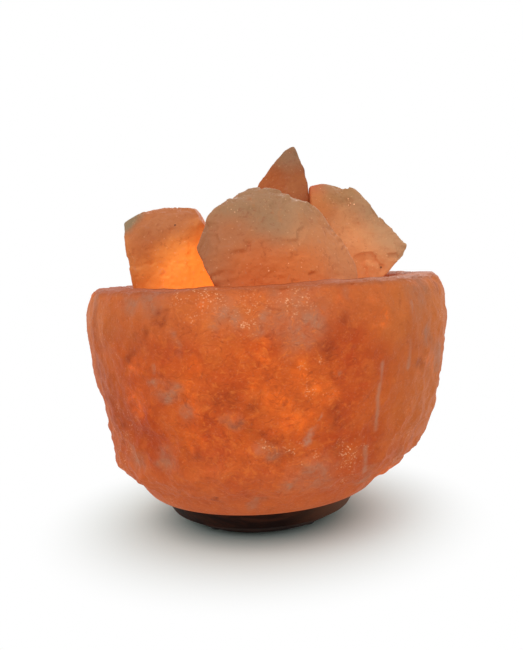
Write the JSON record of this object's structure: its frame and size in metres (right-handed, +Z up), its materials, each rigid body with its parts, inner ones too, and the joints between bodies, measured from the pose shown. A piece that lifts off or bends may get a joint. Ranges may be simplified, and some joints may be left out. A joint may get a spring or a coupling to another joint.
{
  "type": "salt crystal lamp",
  "caption": "Hewn salt bowl on a turned wooden base, heaped with loose salt stones and lit from inside by a small bulb in a pull-out lamp holder.",
  "frame": {"origin": "centre of the base's underside on the bulb's axis, on the surface that the lamp stands on", "axes": "+Z up along the bulb's axis, +Y towards the cord channel at the back, front at -Y"},
  "size_m": [0.169, 0.1684, 0.1789],
  "materials": {
    "bowl_salt": "hewn, matt, glowing from inside",
    "stone_salt": "broken, matt, glowing from inside",
    "dark_wood": "stained and waxed",
    "felt": "felt",
    "steel": "zinc plated",
    "spring_steel": "bright",
    "plug_plastic": "moulded",
    "holder_plastic": "moulded",
    "porcelain": "glazed",
    "brass": "plain",
    "cap_metal": "bright",
    "black_glass": "vitrified",
    "solder": "soldered",
    "bulb_glass": "clear",
    "stem_glass": "clear",
    "tungsten": "lit"
  },
  "bodies": {
    "lamp": {"salt_bowl": "bowl_salt", "wooden_base": "dark_wood", "base_screws": "steel", "wall_plugs": "plug_plastic", "foot_pads": "felt"},
    "holder": {"holder_shell": "holder_plastic", "end_cap": "holder_plastic", "holder_insulator": "porcelain", "thread_sleeve": "brass", "centre_contact": "brass", "terminal_screws": "brass", "clip_collar": "steel"},
    "clip_left": {"clip_left": "spring_steel"},
    "clip_right": {"clip_right": "spring_steel"},
    "bulb": {"bulb_glass": "bulb_glass", "bulb_cap": "cap_metal", "bulb_button": "black_glass", "bulb_tip": "solder", "bulb_stem": "stem_glass", "bulb_leads": "steel", "bulb_filament": "tungsten"},
    "left_lower": {"stone_left_lower": "stone_salt"},
    "left_block": {"stone_left_block": "stone_salt"},
    "front_lower": {"stone_front_lower": "stone_salt"},
    "front_boulder": {"stone_front_boulder": "stone_salt"},
    "corner_lower": {"stone_corner_lower": "stone_salt"},
    "corner_top": {"stone_corner_top": "stone_salt"},
    "right_lower": {"stone_right_lower": "stone_salt"},
    "right_middle": {"stone_right_middle": "stone_salt"},
    "right_slab": {"stone_right_slab": "stone_salt"},
    "back_lower": {"stone_back_lower": "stone_salt"},
    "back_middle": {"stone_back_middle": "stone_salt"},
    "back_spire": {"stone_back_spire": "stone_salt"},
    "back_left_lower": {"stone_back_left_lower": "stone_salt"},
    "back_left_top": {"stone_back_left_top": "stone_salt"}
  },
  "joints": [
    {"name": "holder_pull", "type": "slide", "parent": "lamp", "child": "holder", "axis": [0, 0, -1], "range_m": [0, 0.09]},
    {"name": "bulb_unscrew", "type": "hinge", "parent": "holder", "child": "bulb", "pos_m": [0, 0, 0.035], "axis": [0, 0, 1], "range_deg": [0, 1260]},
    {"name": "clip_left_squeeze", "type": "hinge", "parent": "holder", "child": "clip_left", "pos_m": [-0.015, 0, 0.0135], "axis": [0, 1, 0], "range_deg": [0, 5], "stiffness_Nm_per_rad": 0.4},
    {"name": "clip_right_squeeze", "type": "hinge", "parent": "holder", "child": "clip_right", "pos_m": [0.015, 0, 0.0135], "axis": [0, -1, 0], "range_deg": [0, 5], "stiffness_Nm_per_rad": 0.4},
    {"name": "lift_left_lower", "type": "slide", "parent": "lamp", "child": "left_lower", "axis": [0, 0, 1], "range_m": [0, 0.08]},
    {"name": "lift_left_block", "type": "slide", "parent": "left_lower", "child": "left_block", "axis": [0, 0, 1], "range_m": [0, 0.06]},
    {"name": "lift_front_lower", "type": "slide", "parent": "lamp", "child": "front_lower", "axis": [0, 0, 1], "range_m": [0, 0.08]},
    {"name": "lift_front_boulder", "type": "slide", "parent": "front_lower", "child": "front_boulder", "axis": [0, 0, 1], "range_m": [0, 0.06]},
    {"name": "lift_corner_lower", "type": "slide", "parent": "lamp", "child": "corner_lower", "axis": [0, 0, 1], "range_m": [0, 0.08]},
    {"name": "lift_corner_top", "type": "slide", "parent": "corner_lower", "child": "corner_top", "axis": [0, 0, 1], "range_m": [0, 0.06]},
    {"name": "lift_right_lower", "type": "slide", "parent": "lamp", "child": "right_lower", "axis": [0, 0, 1], "range_m": [0, 0.08]},
    {"name": "lift_right_middle", "type": "slide", "parent": "right_lower", "child": "right_middle", "axis": [0, 0, 1], "range_m": [0, 0.06]},
    {"name": "lift_right_slab", "type": "slide", "parent": "right_middle", "child": "right_slab", "axis": [0, 0, 1], "range_m": [0, 0.06]},
    {"name": "lift_back_lower", "type": "slide", "parent": "lamp", "child": "back_lower", "axis": [0, 0, 1], "range_m": [0, 0.08]},
    {"name": "lift_back_middle", "type": "slide", "parent": "back_lower", "child": "back_middle", "axis": [0, 0, 1], "range_m": [0, 0.06]},
    {"name": "lift_back_spire", "type": "slide", "parent": "back_middle", "child": "back_spire", "axis": [0, 0, 1], "range_m": [0, 0.06]},
    {"name": "lift_back_left_lower", "type": "slide", "parent": "lamp", "child": "back_left_lower", "axis": [0, 0, 1], "range_m": [0, 0.08]},
    {"name": "lift_back_left_top", "type": "slide", "parent": "back_left_lower", "child": "back_left_top", "axis": [0, 0, 1], "range_m": [0, 0.06]}
  ]
}
